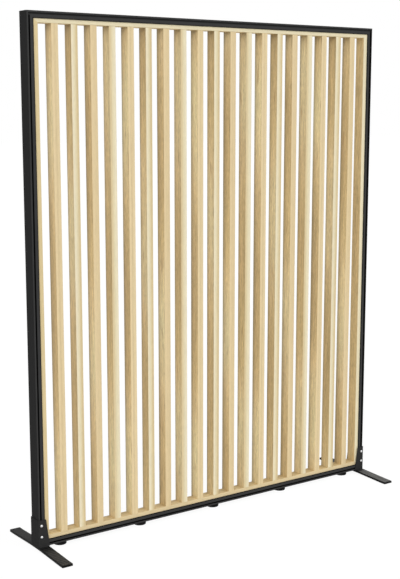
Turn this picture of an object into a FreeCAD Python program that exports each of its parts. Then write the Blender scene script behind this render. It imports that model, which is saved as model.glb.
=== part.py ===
import FreeCAD, Part
import math
import os

from FreeCAD import Vector

# A free-standing slatted room divider, in millimetres.
# X runs along the screen, the front faces -Y, Z is up and the floor is z = 0.
# The origin is on the floor, in the middle of the screen.

# Outer size of the metal frame
frame_width = 1500.0
frame_height = 1800.0
frame_lift = 12.5

# Section of the frame's extrusion, with a T-groove front and back
profile_width = 24.0
profile_depth = 53.0
profile_corner_radius = 1.2
profile_wall = 1.8
groove_offset = 6.0
groove_width = 6.0
groove_lip = 1.5
chamber_width = 10.4
chamber_depth = 3.5
channel_depth = 3.0
channel_lip = 3.0

# Timber panel: four mitred liners and a row of slats between them
timber_depth = 44.0
timber_play = 0.2
stile_liner_thickness = 20.0
rail_liner_thickness = 17.0
liner_edge_radius = 2.0
slat_width = 25.0
slat_count = 19
slat_edge_radius = 1.5

# Countersunk wood screws that hold each slat's two ends
wood_screw_length = 48.0
wood_screw_head_radius = 4.2
wood_screw_shank_radius = 2.1
wood_screw_tip = 5.0
wood_screw_fit = 0.05

# Loose tongues across the liners' mitres
tongue_length = 30.0
tongue_reach = 6.0
tongue_thickness = 4.0
tongue_fit = 0.1

# Corner keys inside the extrusion
key_leg = 62.0
key_fit = 0.15
key_rib = 4.0
key_lead = 2.0
key_boss = 12.0

# Grub screws that hold each bar to its corner keys
grub_radius = 3.0
grub_length = 10.0
grub_place = 40.0
grub_sink = 0.4
grub_point = 1.2
grub_socket = 3.0
grub_socket_depth = 3.5
grub_fit = 0.05

# Foot bars: cranked flat bar that touches the floor at its ends
bar_width = 40.0
bar_length = 402.0
bar_thickness = 7.5
bar_middle = 70.0
bar_end_flat = 25.0
bar_corner_radius = 3.0
bar_edge = 0.8

# Foot shoes: folded sheet round three sides of the frame's lower corners
shoe_sheet = 3.0
shoe_height = 97.0
shoe_base_width = 43.0
shoe_top_width = 30.0
shoe_bend_radius = 0.5
shoe_screw_inset = 19.5
shoe_screw_pitch = 40.0
shoe_hole_play = 0.25

# Weld beads between each shoe's cheeks and its bar
weld_leg = 3.0
weld_round = 2.4
weld_inset = 2.0

# Button-head screws and slot nuts that hold the shoes
button_radius = 4.75
button_height = 2.75
button_socket = 3.0
button_socket_depth = 1.4
bolt_radius = 2.5
bolt_fit = 0.05
nut_length = 14.0
nut_side_play = 0.25
nut_face_play = 0.2

# Levelling glides under the lower rail
glide_count = 5
glide_end_inset = 94.0
glide_radius = 23.0
glide_height = 7.5
glide_foot_round = 2.2
glide_top_round = 1.2
glide_floor = 1.5
glide_recess_radius = 9.0
glide_recess_depth = 3.0
stem_radius = 4.0
stem_reach = 14.0
stem_fit = 0.05
stem_seat_gap = 0.2
stem_chamfer = 0.8
collar_across_flats = 13.0
collar_height = 4.0
insert_radius = 5.5
insert_length = 11.0
insert_flange_radius = 6.5
insert_flange = 1.0
insert_fit = 0.05

# How far cutting shapes run past what they cut
overrun = 1.0

# Places worked out from the sizes above
half_depth = profile_depth / 2
frame_top = frame_lift + frame_height
channel_floor = profile_width - channel_depth
hollow_near = profile_wall
hollow_far = channel_floor - profile_wall
hollow_half_depth = half_depth - groove_lip - chamber_depth - profile_wall
groove_middle = groove_offset + groove_width / 2
timber_front = -half_depth + channel_lip
timber_back = timber_front + timber_depth
timber_middle = (timber_front + timber_back) / 2
stile_inset = channel_floor + stile_liner_thickness
rail_inset = channel_floor + rail_liner_thickness
clear_width = frame_width - 2 * stile_inset
clear_height = frame_height - 2 * rail_inset
slat_gap = (clear_width - slat_count * slat_width) / (slat_count + 1)
slat_pitch = slat_width + slat_gap
bar_top = frame_lift
shoe_top = bar_top + shoe_height
shoe_screw_heights = (shoe_top - shoe_screw_inset - shoe_screw_pitch, shoe_top - shoe_screw_inset)
foot_outside = -frame_width / 2 - shoe_sheet
glide_pitch = (frame_width - 2 * glide_end_inset) / (glide_count - 1)

ALONG_X = Vector(1, 0, 0)
ALONG_Y = Vector(0, 1, 0)
ALONG_Z = Vector(0, 0, 1)
BASE = Vector(0, 0, 0)

# The frame's corners as sides of X and Z
CORNERS = {(-1, -1): "bottom_left", (-1, 1): "top_left", (1, -1): "bottom_right", (1, 1): "top_right"}

# Each side of the frame: turn about Y, length of its bar and place of its outer edge
SIDES = {
    "bottom": (0, frame_width, Vector(0, 0, frame_lift)),
    "top": (180, frame_width, Vector(0, 0, frame_top)),
    "left": (90, frame_height, Vector(-frame_width / 2, 0, frame_lift + frame_height / 2)),
    "right": (-90, frame_height, Vector(frame_width / 2, 0, frame_lift + frame_height / 2)),
}


def in_yz(a, b):
    """Point of an outline drawn across a bar."""
    return Vector(0, a, b)


def in_xz(a, b):
    """Point of an outline drawn in the plane of the screen."""
    return Vector(a, 0, b)


def in_xy(a, b):
    """Point of an outline drawn on the floor plane."""
    return Vector(a, b, 0)


def outline(corners, place):
    """Closed face through corners (a, b) or (a, b, radius), each radius rounding its corner."""
    ends = []
    edges = []
    count = len(corners)
    for i, corner in enumerate(corners):
        here = place(corner[0], corner[1])
        radius = corner[2] if len(corner) > 2 else 0
        if not radius:
            ends.append((here, here))
            continue
        before = corners[i - 1]
        after = corners[(i + 1) % count]
        back = (place(before[0], before[1]) - here).normalize()
        ahead = (place(after[0], after[1]) - here).normalize()
        half_angle = back.getAngle(ahead) / 2
        tangent = radius / math.tan(half_angle)
        middle = (back + ahead).normalize() * (radius / math.sin(half_angle) - radius)
        start = here + back * tangent
        finish = here + ahead * tangent
        edges.append(Part.Arc(start, here + middle, finish).toShape())
        ends.append((start, finish))
    for i in range(count):
        leave = ends[i][1]
        arrive = ends[(i + 1) % count][0]
        if leave.distanceToPoint(arrive) > 0:
            edges.append(Part.LineSegment(leave, arrive).toShape())
    return Part.Face(Part.Wire(Part.__sortEdges__(edges)))


def box(x_from, x_to, y_from, y_to, z_from, z_to):
    """Box between two opposite corners."""
    return Part.makeBox(x_to - x_from, y_to - y_from, z_to - z_from, Vector(x_from, y_from, z_from))


def turned(corners):
    """Solid of revolution about Z through corners (radius, height) or (radius, height, round)."""
    return outline(corners, in_xz).revolve(BASE, ALONG_Z, 360)


def hexagon(across_flats):
    """Flat face of a hexagon round Z."""
    corner = across_flats / 2 / math.cos(math.radians(30))
    angles = [math.radians(60 * i) for i in range(6)]
    return outline([(corner * math.cos(angle), corner * math.sin(angle)) for angle in angles], in_xy)


def moved(shape, x, y, z):
    """Copy of a shape moved by x, y, z."""
    copy = shape.copy()
    copy.translate(Vector(x, y, z))
    return copy


def mirrored(shape, axis):
    """Copy of a shape mirrored through the origin along an axis."""
    return shape.mirror(BASE, axis)


def to_side(shape, side):
    """Turn a shape drawn on the bottom side, outer edge at z = 0, onto a side of the frame."""
    angle, length, edge = SIDES[side]
    copy = shape.copy()
    copy.rotate(BASE, ALONG_Y, angle)
    copy.translate(edge)
    return copy


def groove_corners(side):
    """Corners of one T-groove, from the outer edge inward, on the face at side * half_depth."""
    face = side * half_depth
    lip = side * (half_depth - groove_lip)
    floor = side * (half_depth - groove_lip - chamber_depth)
    near = groove_middle - chamber_width / 2
    far = groove_middle + chamber_width / 2
    return [
        (face, groove_offset),
        (lip, groove_offset),
        (lip, near),
        (floor, near),
        (floor, far),
        (lip, far),
        (lip, groove_offset + groove_width),
        (face, groove_offset + groove_width),
    ]


def profile_face():
    """Section of the frame extrusion: T-grooves, timber channel and one hollow."""
    back_lip = timber_back + timber_play
    outer = [(-half_depth, 0, profile_corner_radius)]
    outer += groove_corners(-1)
    outer += [
        (-half_depth, profile_width),
        (timber_front, profile_width),
        (timber_front, channel_floor),
        (back_lip, channel_floor),
        (back_lip, profile_width),
        (half_depth, profile_width),
    ]
    outer += reversed(groove_corners(1))
    outer.append((half_depth, 0, profile_corner_radius))
    lobe_near = groove_middle + chamber_width / 2 + profile_wall
    lobe_depth = half_depth - profile_wall
    hollow = [
        (-hollow_half_depth, hollow_near),
        (-hollow_half_depth, lobe_near),
        (-lobe_depth, lobe_near),
        (-lobe_depth, hollow_far),
        (lobe_depth, hollow_far),
        (lobe_depth, lobe_near),
        (hollow_half_depth, lobe_near),
        (hollow_half_depth, hollow_near),
    ]
    return outline(outer, in_yz).cut(outline(hollow, in_yz))


def mitred(face, length, low, high, slope):
    """Extrude a section that reaches from low to high along X and mitre both ends.

    The mitre starts on the frame's 45 degree line at low and runs inward by slope for each unit of height.
    """
    bar = face.extrude(ALONG_X * length)
    bar.translate(ALONG_X * (-length / 2))
    foot = length / 2 - low + slope * overrun
    tip = length / 2 - low - slope * (high - low + overrun)
    wedge = outline(
        [(-foot, low - overrun), (foot, low - overrun), (tip, high + overrun), (-tip, high + overrun)],
        in_xz,
    )
    wedge.translate(ALONG_Y * (-profile_depth))
    return bar.common(wedge.extrude(ALONG_Y * (2 * profile_depth)))


def glide_places():
    """X of each levelling glide."""
    first = -frame_width / 2 + glide_end_inset
    return [first + i * glide_pitch for i in range(glide_count)]


def slat_places():
    """X of the middle of each slat."""
    first = -clear_width / 2 + slat_gap + slat_width / 2
    return [first + i * slat_pitch for i in range(slat_count)]


def grub_screw(grow):
    """Socket grub screw hanging down from z = 0, larger by grow for its hole."""
    radius = grub_radius + grow
    screw = turned(
        [
            (0, grow),
            (radius, grow),
            (radius, grub_point - grub_length),
            (grub_radius - grub_point, -grub_length - grow),
            (0, -grub_length - grow),
        ]
    )
    if grow:
        return screw
    socket = hexagon(grub_socket).extrude(ALONG_Z * (grub_socket_depth + overrun))
    return screw.cut(moved(socket, 0, 0, -grub_socket_depth))


def grub_pair(grow):
    """The two grub screws of the corner at the origin, one in each leg of its key."""
    head = channel_floor - grub_sink
    upright = grub_screw(grow)
    sideways = upright.copy()
    sideways.rotate(BASE, ALONG_Y, 90)
    return Part.makeCompound([moved(upright, grub_place, 0, head), moved(sideways, head, 0, grub_place)])


def frame_bar(side):
    """One mitred length of the extrusion, bored for its grub screws and the glides' inserts."""
    length = SIDES[side][1]
    bar = mitred(profile_face(), length, 0, profile_width, 1)
    if side == "bottom":
        for x in glide_places():
            bore = Part.makeCylinder(insert_radius + insert_fit, profile_wall + 2 * overrun)
            bar = bar.cut(moved(bore, x, 0, -overrun))
    return to_side(bar, side).cut(at_corners(grub_pair(grub_fit)))


def corner_key():
    """Cast key that joins two mitred bars, drawn for the corner at the origin and bored for its screws."""
    near = hollow_near + key_fit
    far = hollow_far - key_fit
    thick = hollow_half_depth - key_fit
    ell = outline(
        [
            (near, near),
            (key_leg - key_lead, near),
            (key_leg, near + key_lead),
            (key_leg, far - key_lead),
            (key_leg - key_lead, far),
            (far, far),
            (far, key_leg - key_lead),
            (far - key_lead, key_leg),
            (near + key_lead, key_leg),
            (near, key_leg - key_lead),
        ],
        in_xz,
    )
    ell.translate(ALONG_Y * (-thick))
    key = ell.extrude(ALONG_Y * (2 * thick))
    low = near + key_rib
    high = far - key_rib
    pockets = [
        (far + key_rib, grub_place - key_boss / 2),
        (grub_place + key_boss / 2, key_leg - key_rib - key_lead),
    ]
    for start, finish in pockets:
        for y_from, y_to in ((-thick - overrun, -key_rib / 2), (key_rib / 2, thick + overrun)):
            key = key.cut(box(start, finish, y_from, y_to, low, high))
            key = key.cut(box(low, high, y_from, y_to, start, finish))
    return key.cut(grub_pair(grub_fit))


def at_corner(shape, x_side, z_side):
    """Move a shape drawn for the lower left corner at the origin to a corner of the frame."""
    if x_side > 0:
        shape = mirrored(shape, ALONG_X)
    if z_side > 0:
        shape = mirrored(shape, ALONG_Z)
    z = frame_top if z_side > 0 else frame_lift
    return moved(shape, x_side * frame_width / 2, 0, z)


def at_corners(shape):
    """The shape drawn for the lower left corner at the origin, at all four corners."""
    return Part.makeCompound([at_corner(shape, *corner) for corner in CORNERS])


def tongue(grow):
    """Loose tongue across the mitre of the lower left liner corner, larger by grow for its slot."""
    turn = math.degrees(math.atan2(stile_liner_thickness, rail_liner_thickness))
    reach = tongue_reach + grow
    thick = tongue_thickness / 2 + grow
    long = tongue_length / 2 + grow
    bar = box(-reach, reach, timber_middle - long, timber_middle + long, -thick, thick)
    bar.rotate(BASE, ALONG_Y, turn)
    return moved(bar, channel_floor + stile_liner_thickness / 2, 0, channel_floor + rail_liner_thickness / 2)


def wood_screw(grow):
    """Countersunk screw pointing up from z = 0, larger by grow for its hole."""
    head = wood_screw_head_radius + grow
    shank = wood_screw_shank_radius + grow
    return turned(
        [
            (0, 0),
            (head, 0),
            (shank, wood_screw_head_radius - wood_screw_shank_radius),
            (shank, wood_screw_length - wood_screw_tip),
            (0, wood_screw_length + grow),
        ]
    )


def screws_on(side, grow):
    """Every slat screw on the bottom or top side, drawn on the bottom with outer edge at z = 0."""
    screw = wood_screw(grow)
    row = [moved(screw, x, timber_middle, channel_floor) for x in slat_places()]
    return [to_side(one, side) for one in row]


def liner(side):
    """One mitred liner board with eased inner edges, slotted for its tongues and bored for screws."""
    on_rail = side in ("bottom", "top")
    inset = rail_inset if on_rail else stile_inset
    slope = stile_liner_thickness / rail_liner_thickness
    section = outline(
        [
            (timber_front, channel_floor),
            (timber_front, inset, liner_edge_radius),
            (timber_back, inset, liner_edge_radius),
            (timber_back, channel_floor),
        ],
        in_yz,
    )
    board = mitred(section, SIDES[side][1], channel_floor, inset, slope if on_rail else 1 / slope)
    board = to_side(board, side).cut(at_corners(tongue(tongue_fit)))
    if on_rail:
        board = board.cut(Part.makeCompound(screws_on(side, wood_screw_fit)))
    return board


def slat(index):
    """One slat with eased edges and a screw hole in each end."""
    x = slat_places()[index]
    half = slat_width / 2
    ease = slat_edge_radius
    section = outline(
        [
            (-half, timber_front, ease),
            (half, timber_front, ease),
            (half, timber_back, ease),
            (-half, timber_back, ease),
        ],
        in_xy,
    )
    body = moved(section.extrude(ALONG_Z * clear_height), x, 0, frame_lift + rail_inset)
    hole = moved(wood_screw(wood_screw_fit), x, timber_middle, channel_floor)
    return body.cut(Part.makeCompound([to_side(hole, "bottom"), to_side(mirrored(hole, ALONG_X), "top")]))


def foot_bar():
    """Cranked flat bar of the left foot, resting on its two end flats."""
    half = bar_length / 2
    low_end = half - bar_end_flat
    middle = bar_middle / 2
    under = [
        (-half, 0),
        (-low_end, 0),
        (-middle, bar_top - bar_thickness),
        (middle, bar_top - bar_thickness),
        (low_end, 0),
        (half, 0),
    ]
    over = [
        (half, bar_thickness),
        (low_end, bar_thickness),
        (middle, bar_top),
        (-middle, bar_top),
        (-low_end, bar_thickness),
        (-half, bar_thickness),
    ]
    bar = outline(under + over, in_yz).extrude(ALONG_X * bar_width)
    along = [edge for edge in bar.Edges if edge.BoundBox.XLength < bar_edge]
    corners = [edge for edge in along if edge.BoundBox.YLength < bar_edge]
    bar = bar.makeFillet(bar_corner_radius, corners)
    rims = [
        edge
        for edge in bar.Edges
        if edge.BoundBox.XLength < bar_edge
        and edge.BoundBox.YLength > bar_edge
        and edge.BoundBox.ZMax > bar_thickness - bar_edge
    ]
    return moved(bar.makeChamfer(bar_edge, rims), foot_outside, 0, 0)


def foot_shoe():
    """Folded shoe of the left foot: an outer wall and two tapered cheeks that stand on the bar."""
    outside = foot_outside
    inside = outside + shoe_base_width
    reach = half_depth + shoe_sheet
    bend = shoe_bend_radius + shoe_sheet
    far = inside + overrun
    blank = outline(
        [(outside, -reach, bend), (far, -reach), (far, reach), (outside, reach, bend)], in_xy
    )
    hollow = outline(
        [
            (outside + shoe_sheet, -half_depth, shoe_bend_radius),
            (far + overrun, -half_depth),
            (far + overrun, half_depth),
            (outside + shoe_sheet, half_depth, shoe_bend_radius),
        ],
        in_xy,
    )
    blank = moved(blank.extrude(ALONG_Z * shoe_height), 0, 0, bar_top)
    hollow = moved(hollow.extrude(ALONG_Z * shoe_height), 0, 0, bar_top)
    cheek = outline(
        [
            (outside - overrun, bar_top),
            (inside, bar_top),
            (outside + shoe_top_width, shoe_top),
            (outside - overrun, shoe_top),
        ],
        in_xz,
    )
    cheek.translate(ALONG_Y * (-profile_depth))
    shoe = blank.cut(hollow).common(cheek.extrude(ALONG_Y * (2 * profile_depth)))
    for z in shoe_screw_heights:
        hole = Part.makeCylinder(
            bolt_radius + shoe_hole_play,
            2 * profile_depth,
            Vector(-frame_width / 2 + groove_middle, -profile_depth, z),
            ALONG_Y,
        )
        shoe = shoe.cut(hole)
    return shoe


def weld_beads():
    """Fillet weld beads along the feet of the left shoe's two cheeks."""
    root = -half_depth - shoe_sheet
    bead = outline(
        [
            (root, bar_top),
            (root - weld_leg, bar_top),
            (root - weld_leg, bar_top + weld_leg, weld_round),
            (root, bar_top + weld_leg),
        ],
        in_yz,
    )
    start = shoe_bend_radius + shoe_sheet
    front = bead.extrude(ALONG_X * (bar_width - start - weld_inset))
    front = moved(front, foot_outside + start, 0, 0)
    return Part.makeCompound([front, mirrored(front, ALONG_Y)])


def button_screw():
    """Button-head screw, head up, the underside of its head at z = 0."""
    reach = shoe_sheet + groove_lip + nut_face_play + nut_thickness()
    dome = button_radius - bolt_radius
    head = turned(
        [
            (0, -reach),
            (bolt_radius, -reach),
            (bolt_radius, 0),
            (button_radius, 0),
            (button_radius, button_height, dome),
            (0, button_height),
        ]
    )
    socket = hexagon(button_socket).extrude(ALONG_Z * (button_socket_depth + overrun))
    return head.cut(moved(socket, 0, 0, button_height - button_socket_depth))


def nut_thickness():
    """Thickness of a slot nut that lies in the groove's chamber."""
    return chamber_depth - 2 * nut_face_play


def slot_nut():
    """Slot nut under the screw, its upper face nut_face_play below the groove's lip."""
    half = (chamber_width - 2 * nut_side_play) / 2
    top = -(shoe_sheet + groove_lip + nut_face_play)
    nut = box(-half, half, -nut_length / 2, nut_length / 2, top - nut_thickness(), top)
    bore = Part.makeCylinder(bolt_radius + bolt_fit, nut_thickness() + 2 * overrun)
    return nut.cut(moved(bore, 0, 0, top - nut_thickness() - overrun))


def on_shoe(shape):
    """The four copies of a fastener on the left shoe, two in front and two behind."""
    copies = []
    front = shape.copy()
    front.rotate(BASE, ALONG_X, 90)
    for z in shoe_screw_heights:
        x = -frame_width / 2 + groove_middle
        one = moved(front, x, -half_depth - shoe_sheet, z)
        copies += [one, mirrored(one, ALONG_Y)]
    return Part.makeCompound(copies)


def glide_base():
    """Moulded disc of a glide, with a recess for the collar and a socket for the stem."""
    recess_floor = glide_height - glide_recess_depth
    return turned(
        [
            (0, 0),
            (glide_radius, 0, glide_foot_round),
            (glide_radius, glide_height, glide_top_round),
            (glide_recess_radius, glide_height),
            (glide_recess_radius, recess_floor),
            (stem_radius + stem_fit, recess_floor),
            (stem_radius + stem_fit, glide_floor),
            (0, glide_floor),
        ]
    )


def glide_stem():
    """Threaded stem with its spanner collar."""
    collar_low = glide_height - glide_recess_depth + stem_seat_gap
    top = frame_lift + stem_reach
    stem = turned(
        [
            (0, glide_floor + stem_seat_gap),
            (stem_radius, glide_floor + stem_seat_gap),
            (stem_radius, top - stem_chamfer),
            (stem_radius - stem_chamfer, top),
            (0, top),
        ]
    )
    collar = hexagon(collar_across_flats).extrude(ALONG_Z * collar_height)
    return stem.fuse(moved(collar, 0, 0, collar_low)).removeSplitter()


def glide_insert():
    """Threaded insert riveted into the lower rail."""
    bore = stem_radius + stem_fit
    low = frame_lift - insert_flange
    return turned(
        [
            (bore, low),
            (insert_flange_radius, low),
            (insert_flange_radius, frame_lift),
            (insert_radius, frame_lift),
            (insert_radius, frame_lift + insert_length),
            (bore, frame_lift + insert_length),
        ]
    )


def build():
    """All nodes by name."""
    nodes = {
        "stile_left": frame_bar("left"),
        "stile_right": frame_bar("right"),
        "rail_top": frame_bar("top"),
        "rail_bottom": frame_bar("bottom"),
    }
    key = corner_key()
    for corner, name in CORNERS.items():
        nodes["corner_key_" + name] = at_corner(key, *corner)
    nodes["key_screws"] = at_corners(grub_pair(0))
    nodes["mitre_tongues"] = at_corners(tongue(0))
    for side in SIDES:
        nodes["liner_" + side] = liner(side)
    for index in range(slat_count):
        nodes["slat_%02d" % (index + 1)] = slat(index)
    nodes["slat_screws_bottom"] = Part.makeCompound(screws_on("bottom", 0))
    nodes["slat_screws_top"] = Part.makeCompound(screws_on("top", 0))
    foot = {
        "foot_bar": foot_bar(),
        "foot_shoe": foot_shoe(),
        "foot_welds": weld_beads(),
        "foot_screws": on_shoe(button_screw()),
        "foot_nuts": on_shoe(slot_nut()),
    }
    for name, shape in foot.items():
        nodes[name + "_left"] = shape
        nodes[name + "_right"] = mirrored(shape, ALONG_X)
    base = glide_base()
    stem = glide_stem()
    insert = glide_insert()
    for number, x in enumerate(glide_places(), 1):
        nodes["glide_base_%d" % number] = moved(base, x, 0, 0)
        nodes["glide_stem_%d" % number] = moved(stem, x, 0, 0)
    nodes["glide_inserts"] = Part.makeCompound([moved(insert, x, 0, 0) for x in glide_places()])
    return nodes


os.makedirs("parts", exist_ok=True)
for node_name, node_shape in build().items():
    node_shape.exportStep("parts/" + node_name + ".step")
    solids = len(node_shape.Solids)
    print(node_name, "solids", solids, "valid", node_shape.isValid(), "volume", round(node_shape.Volume))
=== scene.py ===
"""Looks of a free-standing slatted room divider: timber slats in a black metal frame.

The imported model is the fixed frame. Lengths are in metres: X runs along the screen, the front
faces -Y, Z is up and the floor is z = 0.
"""

import logging
import math
from dataclasses import dataclass, field, replace
from enum import Enum
from typing import Any

import bpy
import bmesh
from mathutils import Euler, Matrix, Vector


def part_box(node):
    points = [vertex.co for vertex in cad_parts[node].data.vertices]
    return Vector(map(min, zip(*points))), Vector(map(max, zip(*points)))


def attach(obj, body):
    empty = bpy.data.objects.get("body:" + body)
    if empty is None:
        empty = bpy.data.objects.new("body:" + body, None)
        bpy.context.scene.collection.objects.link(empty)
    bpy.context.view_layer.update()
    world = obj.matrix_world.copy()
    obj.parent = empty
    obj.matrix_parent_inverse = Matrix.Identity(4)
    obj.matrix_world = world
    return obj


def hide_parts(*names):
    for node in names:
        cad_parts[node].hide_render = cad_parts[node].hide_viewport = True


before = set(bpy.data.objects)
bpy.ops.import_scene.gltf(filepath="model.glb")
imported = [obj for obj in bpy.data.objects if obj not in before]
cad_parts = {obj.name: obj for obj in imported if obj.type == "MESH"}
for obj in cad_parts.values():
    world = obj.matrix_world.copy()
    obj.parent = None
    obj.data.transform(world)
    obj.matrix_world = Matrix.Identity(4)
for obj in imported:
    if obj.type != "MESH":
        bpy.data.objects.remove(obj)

LOG = logging.getLogger("divider")
MILLIMETRE = 0.001
SMOOTH_ANGLE = math.radians(35)

Colour = tuple[float, float, float, float]
Extent = tuple[Vector, Vector]
Step = tuple[float, float]

WHITE: Colour = (1.0, 1.0, 1.0, 1.0)
BLACK: Colour = (0.0, 0.0, 0.0, 1.0)


def screen_colour(code: str) -> Colour:
    """Linear colour of six hexadecimal digits as a screen shows them.

    Args:
        code: Red, green and blue, two digits each.

    Returns:
        The linear colour with full alpha.
    """
    full_level = 255
    low_end, low_slope = 0.04045, 12.92
    offset, power = 0.055, 2.4

    def linear(level: float) -> float:
        """Linear value of one level of the screen."""
        if level <= low_end:
            return level / low_slope
        return ((level + offset) / (1 + offset)) ** power

    red, green, blue = (linear(int(code[i : i + 2], 16) / full_level) for i in (0, 2, 4))
    return (red, green, blue, 1.0)


def nodes_named(start: str) -> list[bpy.types.Object]:
    """Objects of the model's nodes whose names begin alike, in order."""
    return [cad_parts[name] for name in sorted(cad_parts) if name.startswith(start)]


def new_object(name: str, data: bpy.types.ID) -> bpy.types.Object:
    """Make an object and put it in the scene.

    Args:
        name: Name of the object.
        data: Its mesh, lamp or camera.

    Returns:
        The object.
    """
    made = bpy.data.objects.new(name, data)
    bpy.context.scene.collection.objects.link(made)
    return made


def dress(piece: bpy.types.Object, material: bpy.types.Material) -> bpy.types.Object:
    """Give a piece one material over its whole surface.

    Args:
        piece: Object to dress.
        material: Finish that it takes.

    Returns:
        The same piece.
    """
    piece.data.materials.clear()
    piece.data.materials.append(material)
    return piece


@dataclass(frozen=True)
class Pattern:
    """Soft random pattern, drawn out along Z where it has a length.

    The detail is how many finer layers it has and the roughness is their strength. The scale is
    how many patches lie on the width and on the length of a drawn-out pattern.
    """

    width: float
    detail: float
    roughness: float = 0.5
    length: float = 0.0
    scale: float = 1.0


class Wire:
    """An output socket that can be used in a sum."""

    def __init__(self, sheet: "NodeSheet", socket: bpy.types.NodeSocket) -> None:
        """Keep the socket and the sheet it is on.

        Args:
            sheet: Node tree that the socket belongs to.
            socket: Output socket.
        """
        self.sheet = sheet
        self.socket = socket

    def __add__(self, other: "Wire | float") -> "Wire":
        """Sum of two values."""
        return self.sheet.maths("ADD", self, other)

    def __radd__(self, other: float) -> "Wire":
        """Sum with a plain number on the left."""
        return self.sheet.maths("ADD", other, self)

    def __sub__(self, other: "Wire | float") -> "Wire":
        """Difference of two values."""
        return self.sheet.maths("SUBTRACT", self, other)

    def __rsub__(self, other: float) -> "Wire":
        """A plain number less this value."""
        return self.sheet.maths("SUBTRACT", other, self)

    def __mul__(self, other: "Wire | float") -> "Wire":
        """Product of two values."""
        return self.sheet.maths("MULTIPLY", self, other)

    def __rmul__(self, other: float) -> "Wire":
        """Product with a plain number on the left."""
        return self.sheet.maths("MULTIPLY", other, self)

    def __truediv__(self, other: "Wire | float") -> "Wire":
        """Quotient of two values."""
        return self.sheet.maths("DIVIDE", self, other)

    def __mod__(self, other: float) -> "Wire":
        """What is left over after whole steps of the other value."""
        return self.sheet.maths("FLOORED_MODULO", self, other)

    def __abs__(self) -> "Wire":
        """Size of the value without its sign."""
        return self.sheet.maths("ABSOLUTE", self)

    def wave(self) -> "Wire":
        """Sine of this value as an angle."""
        return self.sheet.maths("SINE", self)

    def fraction(self) -> "Wire":
        """What the value has after its whole number."""
        return self.sheet.maths("FRACT", self)

    def larger(self, other: "Wire | float") -> "Wire":
        """The larger of two values."""
        return self.sheet.maths("MAXIMUM", self, other)

    def smaller(self, other: "Wire | float") -> "Wire":
        """The smaller of two values."""
        return self.sheet.maths("MINIMUM", self, other)

    def rise(self, start: float, finish: float) -> "Wire":
        """Smooth step of this value.

        Args:
            start: Value at which the result begins to leave 0.
            finish: Value at which the result reaches 1.

        Returns:
            The stepped value.
        """
        sockets = {"Value": self, "From Min": start, "From Max": finish}
        return self.sheet.wire("ShaderNodeMapRange", {"interpolation_type": "SMOOTHSTEP"}, sockets)


class NodeSheet:
    """A node tree that is written by code."""

    def __init__(self, tree: bpy.types.NodeTree) -> None:
        """Start on a tree.

        Args:
            tree: Tree that takes the nodes.
        """
        self.tree = tree

    def node(
        self,
        kind: str,
        settings: dict[str, Any] | None = None,
        sockets: dict[str | int, Any] | None = None,
    ) -> bpy.types.Node:
        """Add one node.

        Args:
            kind: Blender's name for the type of node.
            settings: Its properties, set first; "stops" holds a ramp's places and colours.
            sockets: Values or wires by the input's name or number, or a list of wires for one
                that takes several.

        Returns:
            The new node.
        """
        made = self.tree.nodes.new(kind)
        for name, value in (settings or {}).items():
            if name == "stops":
                self.set_stops(made.color_ramp, value)
            else:
                setattr(made, name, value)
        for key, value in (sockets or {}).items():
            wires = [value] if isinstance(value, Wire) else value
            if isinstance(wires, list):
                for wire in wires:
                    self.tree.links.new(wire.socket, made.inputs[key])
            else:
                made.inputs[key].default_value = value
        return made

    def set_stops(self, ramp: bpy.types.ColorRamp, stops: list[tuple[float, Colour]]) -> None:
        """Give a ramp its colours.

        Args:
            ramp: Ramp with Blender's two first stops.
            stops: Place and colour of each stop, in order.
        """
        while len(ramp.elements) < len(stops):
            ramp.elements.new(1.0)
        for element, (place, colour) in zip(ramp.elements, stops):
            element.position = place
            element.color = colour

    def wire(
        self,
        kind: str,
        settings: dict[str, Any] | None = None,
        sockets: dict[str | int, Any] | None = None,
        output: str | int = 0,
    ) -> Wire:
        """Add one node and take one of its outputs.

        Args:
            kind: Blender's name for the type of node.
            settings: Its properties.
            sockets: Values or wires by the input's name or number.
            output: Name or number of the output.

        Returns:
            The output as a wire.
        """
        return Wire(self, self.node(kind, settings, sockets).outputs[output])

    def maths(self, operation: str, *values: Wire | float) -> Wire:
        """Result of a Math node.

        Args:
            operation: Blender's name for the sum.
            values: What goes into it.

        Returns:
            The result.
        """
        return self.wire("ShaderNodeMath", {"operation": operation}, dict(enumerate(values)))

    def vector_maths(self, operation: str, first: Wire, second: Any) -> Wire:
        """Result of a Vector Math node.

        Args:
            operation: Blender's name for the sum.
            first: First vector.
            second: Second vector.

        Returns:
            The resulting vector.
        """
        return self.wire("ShaderNodeVectorMath", {"operation": operation}, {0: first, 1: second})

    def parts(self, vector: Wire) -> tuple[Wire, Wire, Wire]:
        """The three parts of a vector.

        Args:
            vector: Vector to take apart.

        Returns:
            Its X, Y and Z.
        """
        made = self.node("ShaderNodeSeparateXYZ", sockets={0: vector})
        x, y, z = (Wire(self, output) for output in made.outputs)
        return x, y, z


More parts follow.
